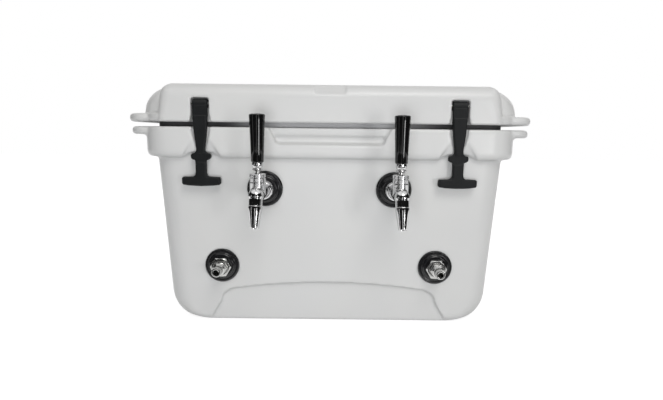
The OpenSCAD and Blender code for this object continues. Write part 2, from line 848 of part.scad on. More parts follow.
module wing_outline(low) {
    r = wing_h / 2 - 1.5;
    translate([-wing_w / 2 + r, low])
        square([wing_w - 2 * r, wing_h]);
    translate([-wing_w / 2, low + r])
        square([wing_w, wing_h - 2 * r]);
    for (sx = [-1, 1], z = [low + r, low + wing_h - r])
        translate([sx * (wing_w / 2 - r), z])
            circle(r = r, $fn = fine);
}

module pull_bar(z) {
    r = pull_h / 2;
    translate([0, -strap_front + strap_t / 2 - 0.5, z]) {
        translate([-pull_w / 2 + r, 0, 0])
            rotate([0, 90, 0])
                cylinder(r = r, h = pull_w - 2 * r, $fn = fine);
        for (sx = [-1, 1])
            translate([sx * (pull_w / 2 - r), 0, 0])
                sphere(r = r, $fn = fine);
    }
}

/* ---------- taps ---------- */

// Profile of a flange with a raised step, from its seat forward
function flange_profile(r, bore_r) =
    [[bore_r, 0], [r, 0], [r, flange_t - 1.5], [r - 1.5, flange_t], [flange_step_d / 2, flange_t],
     [flange_step_d / 2 - 0.8, flange_t + flange_step_t - 0.8], [flange_step_d / 2 - 1.8, flange_t + flange_step_t],
     [bore_r, flange_t + flange_step_t]];

module tap_flange(side) {
    color("#1c1c1e")
        forward(side * tap_x, tap_seat, tap_z)
            turned(flange_profile(flange_d / 2, shank_d / 2 + hole_play));
}

// Straight tube through the wall, with a stub at its inner end for the union
module wall_tube(r, f_in, f_out) {
    difference() {
        union() {
            cylinder(d = stub_d, h = stub_l + cut, $fn = fine);
            translate([0, 0, stub_l])
                cylinder(r = r, h = f_out - f_in, $fn = fine);
        }
        translate([0, 0, -cut])
            cylinder(d = beer_d, h = f_out - f_in + stub_l + 2 * cut, $fn = fine);
    }
}

module tap_shank(side) {
    color("silver")
        forward(side * tap_x, tap_tube_end - stub_l, tap_z)
            wall_tube(shank_d / 2, tap_tube_end, shank_f);
}

module tap_lock_nut(side) {
    color("silver")
        forward(side * tap_x, tap_inner_seat - lock_t, tap_z)
            hex_nut(lock_af, shank_d / 2 + thread_play, lock_t);
}

// Union over the stub; the coil's tube meets its closed rear face
module tail_union() {
    difference() {
        hex_nut(union_af, beer_d / 2, union_l);
        translate([0, 0, union_l - stub_l - 0.5])
            cylinder(r = stub_d / 2 + thread_play, h = stub_l + 0.5 + cut, $fn = fine);
    }
}

module tap_union(side) {
    color("silver")
        forward(side * tap_x, tap_union_face, tap_z)
            tail_union();
}

module tap_coupling_nut(side) {
    r = coupling_d / 2;
    inside = coupling_l - coupling_lip_t;
    bore = shank_d / 2 + thread_play;
    color("gainsboro")
        forward(side * tap_x, coupling_f, tap_z)
            difference() {
                turned([[bore, 0], [r - 1, 0], [r, 1], [r, 5], [r - 1.2, 5.8], [r - 1.2, 7.2], [r, 8],
                        [r, 14], [r - 1.2, 14.8], [r - 1.2, 16.2], [r, 17], [r, coupling_l - 2],
                        [r - 2, coupling_l], [neck_r + hole_play, coupling_l], [neck_r + hole_play, inside],
                        [bore, inside]]);
                for (a = [0 : 60 : 300])
                    rotate([0, 0, a + 30])
                        translate([r - 2, 0, 11])
                            rotate([0, 90, 0])
                                cylinder(d = 5, h = 4, $fn = 24);
            }
}

module tap_washer(side) {
    color("black")
        forward(side * tap_x, shank_f, tap_z)
            pipe(shank_d / 2 - 0.4, beer_d / 2 + 1, washer_t);
}

// Places a piece drawn along +Z so that it points down the spout from distance l
module down_spout(side, l) {
    translate([side * tap_x, -spout_f, tap_z])
        rotate([180 - spout_lean, 0, 0])
            translate([0, 0, l])
                children();
}

module faucet_body(side) {
    color("gainsboro")
        difference() {
            union() {
                forward(side * tap_x, tail_f, tap_z) {
                    cylinder(r = shank_d / 2 - 0.3, h = tail_t, $fn = fine);
                    cylinder(r = neck_r, h = spout_f - tail_f, $fn = fine);
                }
                forward(side * tap_x, barrel_f, tap_z)
                    turned([[0, 0], [barrel_r - 2, 0], [barrel_r, 2.5], [barrel_r, spout_f - barrel_f],
                            [0, spout_f - barrel_f]]);
                translate([side * tap_x, -spout_f, tap_z])
                    sphere(r = barrel_r, $fn = fine);
                down_spout(side, 0)
                    cylinder(r = spout_d / 2 - 0.6, h = boss_l, $fn = fine);
                translate([side * tap_x, -lever_f, tap_z])
                    cylinder(r = bonnet_d / 2 - 1, h = collar_up, $fn = fine);
            }
            // beer way and shuttle chamber
            forward(side * tap_x, tail_f - cut, tap_z)
                cylinder(d = beer_d, h = chamber_f - tail_f, $fn = fine);
            forward(side * tap_x, barrel_f, tap_z)
                cylinder(r = chamber_r, h = chamber_f - barrel_f, $fn = fine);
            forward(side * tap_x, chamber_f - cut, tap_z)
                cylinder(r = spout_bore_d / 2 - 1, h = spout_f - chamber_f + cut, $fn = fine);
            down_spout(side, 0)
                cylinder(r = spout_bore_d / 2 - 0.4, h = boss_l + cut, $fn = fine);
            // way for the lever's arm, ball seat and socket
            translate([side * tap_x - tip_d / 2 - 0.3, -lever_f - tip_d / 2 - 0.3, tap_z])
                cube([tip_d + 0.6, tip_d / 2 + 0.3 + (ball_up - 5) * tan(lever_swing) + arm_d * 0.8, 10.5]);
            translate([side * tap_x, -lever_f, tap_z])
                turned([[0, 10], [8.6, 10], [8.6, seat_up - 3.4], [seat_r, seat_up - 3.4], [seat_r, seat_up],
                        [socket_r, seat_up], [socket_r, collar_up + cut], [0, collar_up + cut]]);
        }
}

module spout(side) {
    r = spout_d / 2;
    tip = spout_tip_d / 2;
    bore = spout_bore_d / 2;
    color("gainsboro")
        down_spout(side, boss_l)
            turned([[bore, 0], [r, 0], [r, 3], [r - 1, 4], [r - 1.4, 4], [r - 2.2, 8],
                    [tip + 0.4, spout_l - 1], [tip, spout_l], [bore, spout_l]]);
}

module bonnet(side) {
    r = bonnet_d / 2;
    lip = 4 + lip_up;
    flare = (bonnet_h - 4) * tan(lever_swing) + stem_d / 2 / cos(lever_swing) + 0.5;
    color("gainsboro")
        translate([side * tap_x, -lever_f, tap_z + collar_up])
            difference() {
                turned([[socket_r, 0], [r, 0], [r, bonnet_h - 3], [r - 1.5, bonnet_h], [flare, bonnet_h],
                        [lip_r, lip], [socket_r, lip - 1.4]]);
                for (a = [0 : 30 : 330])
                    rotate([0, 0, a])
                        translate([r + 0.8, 0, 1.5])
                            cylinder(d = 3, h = bonnet_h - 6, $fn = 24);
            }
}

module lever(side) {
    color("silver")
        translate([side * tap_x, -lever_f, ball_z]) {
            sphere(r = ball_r, $fn = fine);
            cylinder(d = stem_d, h = ferrule_z - ball_z, $fn = fine);
            translate([0, 0, ferrule_z - ball_z - 0.01])
                cylinder(d = stud_d, h = ferrule_h + 18, $fn = fine);
            translate([0, 0, -ball_up])
                cylinder(d = arm_d, h = ball_up, $fn = fine);
            translate([0, 0, -ball_up])
                sphere(r = tip_d / 2, $fn = fine);
        }
}

module ferrule(side) {
    r = ferrule_d / 2;
    bore = stud_d / 2 + thread_play;
    color("gainsboro")
        translate([side * tap_x, -lever_f, ferrule_z])
            turned([[bore, 0], [r - 2.5, 0], [r - 1, 1.5], [r - 1, 3.5], [r - 2, 4.3], [r - 2, 5.2], [r - 0.8, 6],
                    [r, 8], [r, ferrule_h - 1], [r - 0.6, ferrule_h], [bore, ferrule_h]]);
}

module handle(side) {
    foot = handle_foot_d / 2;
    top = handle_top_d / 2;
    dome = 3;
    dome_r = (top * top + dome * dome) / (2 * dome);
    sweep = asin((top - 1.5) / dome_r);
    bore = stud_d / 2 + thread_play;
    color("#141416")
        translate([side * tap_x, -lever_f, handle_z])
            turned(concat(
                [[bore, 0], [foot - 0.8, 0], [foot, 1], [top, handle_l - dome - 2], [top - 0.4, handle_l - dome - 0.6]],
                [for (a = [sweep : -sweep / 4 : sweep / 5])
                    [dome_r * sin(a), handle_l - dome_r + dome_r * cos(a)]],
                [[0, handle_l], [0, 18.5], [bore, 18.5]]));
}

module shuttle(side) {
    r = shuttle_d / 2;
    color("silver")
        forward(side * tap_x, shuttle_f - shuttle_l, tap_z)
            difference() {
                union() {
                    cylinder(r = r, h = shuttle_l, $fn = fine);
                    cylinder(r = 2, h = shuttle_l + seal_t - 0.2, $fn = fine);
                }
                // slot that the lever's tip drives
                translate([-tip_d / 2 - 0.4, -tip_d / 2 - 0.6, shuttle_l - shuttle_front - tip_slot / 2])
                    cube([tip_d + 0.8, shuttle_d, tip_slot]);
                // wider mouth of the slot, for the leaning arm
                translate([-tip_d / 2 - 0.4, 4, shuttle_l - shuttle_front])
                    cube([tip_d + 0.8, shuttle_d, tip_slot / 2 + 1]);
                // flats that let the beer past
                for (sx = [-1, 1])
                    translate([sx * (r + 2.8) - 4, -r, -cut])
                        cube([8, shuttle_d, shuttle_l - 4]);
            }
}

module shuttle_seal(side) {
    color("black")
        forward(side * tap_x, shuttle_f, tap_z)
            pipe(shuttle_d / 2 - 0.3, 2 + thread_play, seal_t);
}

/* ---------- inlets ---------- */

module inlet_flange(side) {
    color("#1c1c1e")
        forward(side * inlet_x, inlet_seat, inlet_z)
            turned(flange_profile(inlet_flange_d / 2, bulkhead_d / 2 + hole_play));
}

module inlet_bulkhead(side) {
    color("silver")
        forward(side * inlet_x, inlet_tube_end - stub_l, inlet_z)
            wall_tube(bulkhead_d / 2, inlet_tube_end, inlet_front_f + 2);
}

module inlet_nut(side) {
    color("silver")
        forward(side * inlet_x, inlet_nut_f, inlet_z)
            hex_nut(inlet_nut_af, bulkhead_d / 2 + thread_play, inlet_nut_t);
}

module inlet_nipple(side) {
    base = bulkhead_d / 2 + 3.5;
    r = nipple_d / 2;
    screw = bulkhead_d / 2 + thread_play;
    bore = nipple_bore_d / 2;
    color("silver")
        forward(side * inlet_x, inlet_front_f, inlet_z)
            turned([[screw, 0], [base, 0], [base, 6], [r + 0.8, 7.5], [r, 9], [r, nipple_l - 1],
                    [r - 1, nipple_l], [bore, nipple_l], [bore, 2.3], [screw, 2.3]]);
}

module inlet_lock_nut(side) {
    color("silver")
        forward(side * inlet_x, inlet_inner_seat - lock_t, inlet_z)
            hex_nut(lock_af, bulkhead_d / 2 + thread_play, lock_t);
}

module inlet_union(side) {
    color("silver")
        forward(side * inlet_x, inlet_union_face, inlet_z)
            tail_union();
}

/* ---------- cooling coils ---------- */

coil_sides = 6;
rings_per_turn = 24;
coil_r = coil_d / 2;
coil_start_a = 60;
coil_end_a = 225 + 360 * coil_turns;
coil_low_z = floor_t + coil_lift + tube_d / 2;
coil_rings = round((coil_end_a - coil_start_a) * rings_per_turn / 360);

// Point k of the helix, and the way it heads there
function coil_angle(k) = coil_start_a + (coil_end_a - coil_start_a) * k / coil_rings;
function coil_point(k) =
    let (a = coil_angle(k))
    [coil_x + coil_r * cos(a), coil_r * sin(a), coil_low_z + (tap_z - coil_low_z) * k / coil_rings];
function heading(a) = [-sin(a), cos(a), 0];
// Smooth curve from p to q that starts along u and ends along v, at share t
function blend(p, u, q, v, t) =
    (2 * t * t * t - 3 * t * t + 1) * p + (t * t * t - 2 * t * t + t) * u
    + (3 * t * t - 2 * t * t * t) * q + (t * t * t - t * t) * v;

inlet_end = [inlet_x, -inlet_union_face, inlet_z];
tap_end = [tap_x, -tap_union_face, tap_z];
bulge = [coil_x + coil_r + tail_out, -0.6 * coil_r, floor_t + 21];

coil_route = concat(
    [inlet_end],
    [for (k = [0 : 6])
        blend(inlet_end + [0, tube_d, 0], [0, 90, 0], bulge, [40, 80, -30], k / 7)],
    [for (k = [0 : 8])
        blend(bulge, [40, 120, -50], coil_point(0), 110 * heading(coil_start_a), k / 9)],
    [for (k = [0 : coil_rings]) coil_point(k)],
    [for (k = [1 : 7])
        blend(coil_point(coil_rings), 70 * heading(coil_end_a), tap_end + [0, tube_d, 0], [0, -60, 0], k / 7)],
    [tap_end]);

function unit(v) = v / norm(v);
function along(path, k) =
    k == 0 || k == len(path) - 1 ? [0, k == 0 ? 1 : -1, 0] : unit(path[k + 1] - path[k - 1]);

// Faces and points of one unbroken tube swept along a path
module swept_tube(path, d, sides) {
    last = len(path) - 1;
    points = [for (k = [0 : last])
        let (t = along(path, k), across = unit(cross(t, [0, 0, 1])), up = cross(across, t))
        for (j = [0 : sides - 1])
            path[k] + d / 2 * (across * cos(360 * j / sides) + up * sin(360 * j / sides))];
    skin = [for (k = [0 : last - 1], j = [0 : sides - 1])
        let (a = k * sides + j, b = k * sides + (j + 1) % sides)
        each [[a, b, a + sides], [b, b + sides, a + sides]]];
    caps = [for (j = [1 : sides - 2]) each
        [[0, j + 1, j], [last * sides, last * sides + j, last * sides + j + 1]]];
    polyhedron(points = points, faces = concat(skin, caps));
}

// Least distance between turns of the tube that aren't neighbours along it
coil_gap = min([for (i = [0 : len(coil_route) - 1], j = [i + rings_per_turn / 2 : len(coil_route) - 1])
    norm(coil_route[i] - coil_route[j])]) - tube_d;

module coil(side) {
    echo(str("least gap of the coil to itself: ", coil_gap, " mm"));
    color("silver")
        mirror([side == left ? 1 : 0, 0, 0])
            swept_tube(coil_route, tube_d, coil_sides);
}

/* ---------- drain ---------- */

module drain_fitting() {
    r = drain_d / 2;
    bore = drain_bore_d / 2;
    inner = drain_inner_seat - drain_nut_t;
    color("dimgray")
        rearward(drain_x, inner, drain_z)
            turned([[bore, 0], [r, 0], [r, drain_seat - inner], [drain_flange_d / 2, drain_seat - inner],
                    [drain_flange_d / 2, drain_seat - inner + drain_flange_t - 1],
                    [drain_flange_d / 2 - 1, drain_seat - inner + drain_flange_t],
                    [bore, drain_seat - inner + drain_flange_t]]);
}

module drain_nut() {
    color("dimgray")
        rearward(drain_x, drain_inner_seat - drain_nut_t, drain_z)
            pipe(drain_nut_d / 2, drain_d / 2 + thread_play, drain_nut_t);
}

module drain_seal() {
    color("black")
        rearward(drain_x, drain_seat + drain_flange_t, drain_z)
            pipe(plug_head_d / 2 - 2, drain_bore_d / 2 + 1, plug_seal_t);
}

module drain_plug() {
    head = drain_seat + drain_flange_t + plug_seal_t;
    color("dimgray")
        rearward(drain_x, head, drain_z) {
            translate([0, 0, -plug_l])
                cylinder(r = drain_bore_d / 2 - run_gap, h = plug_l + cut, $fn = fine);
            cylinder(d = plug_head_d, h = plug_head_t, $fn = fine);
            translate([-plug_head_d / 2 + 3, -4, plug_head_t - cut])
                cube([plug_head_d - 6, 8, 11]);
        }
}

tub();
lid();
lid_gasket();
drain_fitting();
drain_nut();
drain_plug();
drain_seal();
hinge_rod(left);  // hinge_rod_left
hinge_rod(right);  // hinge_rod_right
latch_strap(left);  // latch_strap_left
latch_strap(right);  // latch_strap_right
latch_pin(left);  // latch_pin_left
latch_pin(right);  // latch_pin_right
tap_flange(left);  // tap_flange_left
tap_flange(right);  // tap_flange_right
tap_shank(left);  // tap_shank_left
tap_shank(right);  // tap_shank_right
tap_lock_nut(left);  // tap_lock_nut_left
tap_lock_nut(right);  // tap_lock_nut_right
tap_union(left);  // tap_union_left
tap_union(right);  // tap_union_right
tap_coupling_nut(left);  // tap_coupling_nut_left
tap_coupling_nut(right);  // tap_coupling_nut_right
tap_washer(left);  // tap_washer_left
tap_washer(right);  // tap_washer_right
faucet_body(left);  // faucet_body_left
faucet_body(right);  // faucet_body_right
spout(left);  // spout_left
spout(right);  // spout_right
bonnet(left);  // bonnet_left
bonnet(right);  // bonnet_right
lever(left);  // lever_left
lever(right);  // lever_right
ferrule(left);  // ferrule_left
ferrule(right);  // ferrule_right
handle(left);  // handle_left
handle(right);  // handle_right
shuttle(left);  // shuttle_left
shuttle(right);  // shuttle_right
shuttle_seal(left);  // shuttle_seal_left
shuttle_seal(right);  // shuttle_seal_right
inlet_flange(left);  // inlet_flange_left
inlet_flange(right);  // inlet_flange_right
inlet_bulkhead(left);  // inlet_bulkhead_left
inlet_bulkhead(right);  // inlet_bulkhead_right
inlet_nut(left);  // inlet_nut_left
inlet_nut(right);  // inlet_nut_right
inlet_nipple(left);  // inlet_nipple_left
inlet_nipple(right);  // inlet_nipple_right
inlet_lock_nut(left);  // inlet_lock_nut_left
inlet_lock_nut(right);  // inlet_lock_nut_right
inlet_union(left);  // inlet_union_left
inlet_union(right);  // inlet_union_right
coil(left);  // coil_left
coil(right);  // coil_right
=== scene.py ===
import math

import bmesh
import bpy
from mathutils import Matrix, Vector


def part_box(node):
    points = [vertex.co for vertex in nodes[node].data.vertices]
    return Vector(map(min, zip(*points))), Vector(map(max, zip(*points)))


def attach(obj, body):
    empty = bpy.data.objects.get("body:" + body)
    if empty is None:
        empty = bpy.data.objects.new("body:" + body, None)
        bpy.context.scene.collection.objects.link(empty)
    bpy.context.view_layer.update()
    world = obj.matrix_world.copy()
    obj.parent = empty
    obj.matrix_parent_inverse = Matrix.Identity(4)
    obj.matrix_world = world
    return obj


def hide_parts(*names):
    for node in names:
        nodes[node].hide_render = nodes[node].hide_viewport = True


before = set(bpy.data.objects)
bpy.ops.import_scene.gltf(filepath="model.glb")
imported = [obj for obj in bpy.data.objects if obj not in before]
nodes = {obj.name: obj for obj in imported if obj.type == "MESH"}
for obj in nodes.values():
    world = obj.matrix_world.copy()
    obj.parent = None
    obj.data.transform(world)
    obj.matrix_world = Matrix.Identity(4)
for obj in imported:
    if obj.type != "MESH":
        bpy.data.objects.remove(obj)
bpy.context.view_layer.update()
mm = 0.001
sides = {"left": -1, "right": 1}

# Camera: stands a metre in front of the cooler at the height of its rim and looks
# down a little, so the taps spread outwards and the ears turn up at their ends.
camera = bpy.data.objects.new("camera", bpy.data.cameras.new("camera"))
camera.data.lens = 25.3
camera.data.sensor_width = 36
camera.location = (0.004, -1.024, 0.348)
pitch, roll = math.radians(82), math.radians(0.65)
tilt = Matrix.Rotation(pitch, 3, "X") @ Matrix.Rotation(roll, 3, "Z")
camera.rotation_euler = tilt.to_euler()
bpy.context.scene.collection.objects.link(camera)
bpy.context.scene.camera = camera
bpy.context.scene.view_settings.view_transform = "Standard"

# Tub: one hollow shell of white polyethylene, rotomoulded and filled with foam. The mould
# rounds every edge, and its skin is glossy with a faint orange peel and shallow waves.


def sockets(group, direction, kind, *names):
    for name in names:
        group.interface.new_socket(name, in_out=direction, socket_type=kind)


skin = bpy.data.node_groups.new("moulded skin", "ShaderNodeTree")
sockets(skin, "INPUT", "NodeSocketFloat", "Peel Scale", "Peel Depth", "Wave Scale", "Wave Depth")
sockets(skin, "OUTPUT", "NodeSocketVector", "Normal")
sockets(skin, "OUTPUT", "NodeSocketFloat", "Mottle")


def add_node(tree, kind, settings=None, **wires):
    """Adds a node. A wire goes by its socket's name, or by i and its number where names repeat."""
    node = tree.nodes.new(kind)
    for name, value in (settings or {}).items():
        setattr(node, name, value)
    for name, value in wires.items():
        numbered = name[0] == "i" and name[1:].isdigit()
        socket = node.inputs[int(name[1:]) if numbered else name.replace("_", " ")]
        if isinstance(value, bpy.types.NodeSocket):
            tree.links.new(value, socket)
        else:
            socket.default_value = value
    return node


given = skin.nodes.new("NodeGroupInput").outputs
made = skin.nodes.new("NodeGroupOutput").inputs
where = skin.nodes.new("ShaderNodeTexCoord").outputs["Object"]
peel = add_node(skin, "ShaderNodeTexNoise", Vector=where, Scale=given["Peel Scale"], Detail=3.0)
wave = add_node(skin, "ShaderNodeTexNoise", Vector=where, Scale=given["Wave Scale"], Detail=1.0)
waves = add_node(skin, "ShaderNodeBump", Height=wave.outputs[0], Distance=given["Wave Depth"])
peels = add_node(skin, "ShaderNodeBump", Height=peel.outputs[0], Distance=given["Peel Depth"],
                 Normal=waves.outputs[0])
skin.links.new(peels.outputs[0], made["Normal"])
skin.links.new(wave.outputs[0], made["Mottle"])


def finish_of(name, colours, rough, peel, wave, **shader):
    """A material whose colour and roughness drift between two values on an uneven skin.

    peel and wave are the scale and the depth, in metres, of the fine and the broad bumps.
    """
    material = bpy.data.materials.new(name)
    material.use_nodes = True
    tree = material.node_tree
    surface = tree.nodes["Principled BSDF"]
    group = add_node(tree, "ShaderNodeGroup", {"node_tree": skin}, Peel_Scale=peel[0],
                     Peel_Depth=peel[1], Wave_Scale=wave[0], Wave_Depth=wave[1])
    tint = add_node(tree, "ShaderNodeMix", {"data_type": "RGBA"}, i0=group.outputs["Mottle"],
                    i6=(*colours[0], 1), i7=(*colours[1], 1))
    gloss = add_node(tree, "ShaderNodeMapRange", Value=group.outputs["Mottle"], To_Min=rough[0],
                     To_Max=rough[1])
    tree.links.new(tint.outputs[2], surface.inputs["Base Color"])
    tree.links.new(gloss.outputs[0], surface.inputs["Roughness"])
    tree.links.new(group.outputs["Normal"], surface.inputs["Normal"])
    for name, value in shader.items():
        surface.inputs[name.replace("_", " ")].default_value = value
    return material


shell_white = finish_of("shell white", ((0.665, 0.668, 0.67), (0.69, 0.69, 0.68)), (0.26, 0.34),
                        peel=(420, 0.0001), wave=(9, 0.0016), Specular_IOR_Level=0.4)
cad_weld, fine_weld = 0.00001, 0.000001


def softened(node, voxel, rounds, share):
    """A copy of a CAD solid whose edges are rounded as the mould or the casting rounds them."""
    bm = bmesh.new()
    bm.from_mesh(nodes[node].data)
    bmesh.ops.remove_doubles(bm, verts=bm.verts, dist=cad_weld)
    return soften(bm, voxel, rounds, share)


def soften(bm, voxel, rounds, share):
    """Rebuilds a closed form from voxels, smooths it and keeps a share of its triangles."""
    mesh = bpy.data.meshes.new("blank")
    bm.to_mesh(mesh)
    bm.free()
    blank = bpy.data.objects.new("blank", mesh)
    bpy.context.scene.collection.objects.link(blank)
    remesh = blank.modifiers.new("skin", "REMESH")
    remesh.mode = "VOXEL"
    remesh.voxel_size = voxel
    remesh.adaptivity = 0
    rounding = blank.modifiers.new("rounding", "SMOOTH")
    rounding.factor = 0.5
    rounding.iterations = rounds
    thinning = blank.modifiers.new("thinning", "DECIMATE")
    thinning.ratio = share
    ready = blank.evaluated_get(bpy.context.evaluated_depsgraph_get())
    bm = bmesh.new()
    bm.from_mesh(ready.to_mesh())
    ready.to_mesh_clear()
    bpy.data.objects.remove(blank)
    bpy.data.meshes.remove(mesh)
    return bm


def add_piece(name, bm, body, material, slot, *stands_for, crease=None):
    """Makes an object that rides a body and stands for CAD nodes, sharp past the crease angle."""
    mesh = bpy.data.meshes.new(name)
    bm.to_mesh(mesh)
    bm.free()
    mesh.shade_smooth()
    if crease:
        mesh.set_sharp_from_angle(angle=math.radians(crease))
    mesh.materials.append(material)
    piece = bpy.data.objects.new(name, mesh)
    bpy.context.scene.collection.objects.link(piece)
    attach(piece, body)
    if stands_for:
        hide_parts(*stands_for)
    return piece


collar_half, ear_share = 331 * mm, 0.84


def moulded(node, voxel, rounds, share):
    """A shell whose ears have shrunk a little towards the collar, as they cool first."""
    bm = softened(node, voxel, rounds, share)
    for v in bm.verts:
        out = abs(v.co.x) - collar_half
        if out > 0:
            v.co.x = math.copysign(collar_half + ear_share * out, v.co.x)
    return bm


tub_shell = moulded("tub", voxel=2.4 * mm, rounds=5, share=0.2)
add_piece("tub_shell", tub_shell, "tub", shell_white, "shell", "tub")

# Drain: a moulded fitting through the rear wall, with a nut inside and a screw plug that
# hangs on its own thread against a flat rubber washer. Profiles are in millimetres.
grey_plastic = finish_of("grey plastic", ((0.045, 0.048, 0.05), (0.06, 0.063, 0.066)), (0.42, 0.55),
                         peel=(900, 0.0001), wave=(40, 0.0003))
seal_rubber = finish_of("seal rubber", ((0.012, 0.012, 0.012), (0.02, 0.02, 0.02)), (0.6, 0.75),
                        peel=(1400, 0.00008), wave=(60, 0.0001))
drain_x, drain_z = 205 * mm, 64 * mm
drain_bore, drain_neck, drain_flange, drain_flange_h = 11, 15, 23, 4
wing_up, wing_size = 13 * mm, (34 * mm, 8 * mm, 12 * mm)


def turned(profile, steps=72):
    """Turns a profile of (radius, height) in millimetres about Z; points on the axis close it."""
    bm = bmesh.new()
    ring = [bm.verts.new((r * mm, 0, h * mm)) for r, h in profile]
    for a, b in zip(ring, ring[1:] + ring[:1]):
        if a.co.x > 0 or b.co.x > 0:
            bm.edges.new((a, b))
    bmesh.ops.spin(bm, geom=bm.verts[:] + bm.edges[:], cent=(0, 0, 0), axis=(0, 0, 1),
                   angle=2 * math.pi, steps=steps, use_merge=True)
    bmesh.ops.remove_doubles(bm, verts=bm.verts, dist=fine_weld)
    bmesh.ops.recalc_face_normals(bm, faces=bm.faces)
    return bm


def break_edges(bm, width, angle=25, segments=2):
    """Rounds every edge that turns by more than the angle."""
    sharp = [e for e in bm.edges if e.is_manifold and e.calc_face_angle() > math.radians(angle)]
    bmesh.ops.bevel(bm, geom=sharp, offset=width * mm, segments=segments, profile=0.5,
                    affect="EDGES", material=-1, clamp_overlap=True)
    return bm


def facing(bm, x, y, z, turn):
    """Stands a piece drawn along Z on a point, turned about X: 90 faces the front, -90 the rear."""
    place = Matrix.Translation((x, y, z)) @ Matrix.Rotation(math.radians(turn), 4, "X")
    bmesh.ops.transform(bm, matrix=place, verts=bm.verts)
    return bm


drain_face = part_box("drain_fitting")[1].y
drain_length = drain_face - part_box("drain_fitting")[0].y
flange_foot = drain_length / mm - drain_flange_h
fitting = turned([(drain_bore, 0), (drain_neck, 0), (drain_neck, flange_foot),
                  (drain_flange, flange_foot), (drain_flange, drain_length / mm),
                  (drain_bore, drain_length / mm)])
facing(break_edges(fitting, 0.8), drain_x, drain_face - drain_length, drain_z, -90)
add_piece("drain_socket", fitting, "tub", grey_plastic, "grey_plastic", "drain_fitting", crease=50)
plug = turned([(0, -22), (9.5, -22), (10.9, -20), (10.9, 0), (20, 0), (20, 8), (0, 8)])
wing = bmesh.ops.create_cube(plug, size=1)["verts"]
wing_place = Matrix.Translation((0, 0, wing_up)) @ Matrix.Diagonal((*wing_size, 1))
bmesh.ops.transform(plug, matrix=wing_place, verts=wing)
facing(break_edges(plug, 1.2, segments=3), drain_x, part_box("drain_seal")[1].y, drain_z, -90)
add_piece("drain_cap", plug, "drain_plug", grey_plastic, "grey_plastic", "drain_plug", crease=50)
nodes["drain_nut"].data.materials[0] = grey_plastic
nodes["drain_seal"].data.materials[0] = seal_rubber

# Cooling coils: one length of bright stainless tube each, wound round and round from the
# inlet's union up to the tap's union, with an eased bend at each end. Sizes in millimetres.
steel = finish_of("stainless steel", ((0.50, 0.50, 0.49), (0.58, 0.58, 0.57)), (0.12, 0.22),
                  peel=(1500, 0.00004), wave=(60, 0.0002), Metallic=1.0)
tap_out, tap_z = 113.8, 252.0
inlet_out, inlet_z = 194, 109.5
coil_out, coil_r, coil_low, tube_r = 130, 100, 50.05, 4.75
wind_from, wind_to, wind_points = 60, 225 + 360 * 11, 414


def eased(p, u, q, v, t):
    """A point on the bend that leaves p along u and reaches q along v, at a share t of its way."""
    return ((2 * t**3 - 3 * t**2 + 1) * p + (t**3 - 2 * t**2 + t) * u
            + (3 * t**2 - 2 * t**3) * q + (t**3 - t**2) * v)


def wound(a):
    """A point of the winding, and its heading, at an angle in degrees."""
    c, s = math.cos(math.radians(a)), math.sin(math.radians(a))
    rise = (a - wind_from) / (wind_to - wind_from)
    place = Vector((coil_out + coil_r * c, coil_r * s, coil_low + (tap_z - coil_low) * rise))
    return place, Vector((-s, c, 0))


first, first_way = wound(wind_from)
last, last_way = wound(wind_to)
inlet_end = Vector((inlet_out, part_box("inlet_union_left")[1].y / mm, inlet_z))
tap_end = Vector((tap_out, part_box("tap_union_left")[1].y / mm, tap_z))
in_union = Vector((0, 9.5, 0))
bulge = Vector((241, -60, 66))
into_bulge, from_bulge = Vector((40, 80, -30)), Vector((40, 120, -50))
from_inlet, into_first = Vector((0, 90, 0)), first_way * 110
from_last, into_tap = last_way * 70, Vector((0, -60, 0))
route = [inlet_end]
route += [eased(inlet_end + in_union, from_inlet, bulge, into_bulge, k / 7) for k in range(7)]
route += [eased(bulge, from_bulge, first, into_first, k / 9) for k in range(9)]
route += [wound(wind_from + (wind_to - wind_from) * k / (wind_points - 1))[0]
          for k in range(wind_points)]
route += [eased(last, from_last, tap_end + in_union, into_tap, k / 7) for k in range(1, 8)]
route += [tap_end]
for side, sign in sides.items():
    line = bpy.data.curves.new("coil", "CURVE")
    line.dimensions = "3D"
    line.bevel_depth = tube_r * mm
    line.bevel_resolution = 3
    line.use_fill_caps = True
    run = line.splines.new("POLY")
    run.points.add(len(route) - 1)
    for point, place in zip(run.points, route):
        point.co = (sign * place.x * mm, place.y * mm, place.z * mm, 1)
    tube = bpy.data.objects.new("tube", line)
    bm = bmesh.new()
    bm.from_mesh(tube.to_mesh())
    bpy.data.objects.remove(tube)
    bmesh.ops.recalc_face_normals(bm, faces=bm.faces)
    add_piece(f"coil_tube_{side}", bm, "tub", steel, "steel", f"coil_{side}", crease=50)
    for hidden in ("tap_shank", "tap_lock_nut", "tap_union", "inlet_bulkhead", "inlet_lock_nut",
                   "inlet_union"):
        nodes[f"{hidden}_{side}"].data.materials[0] = steel

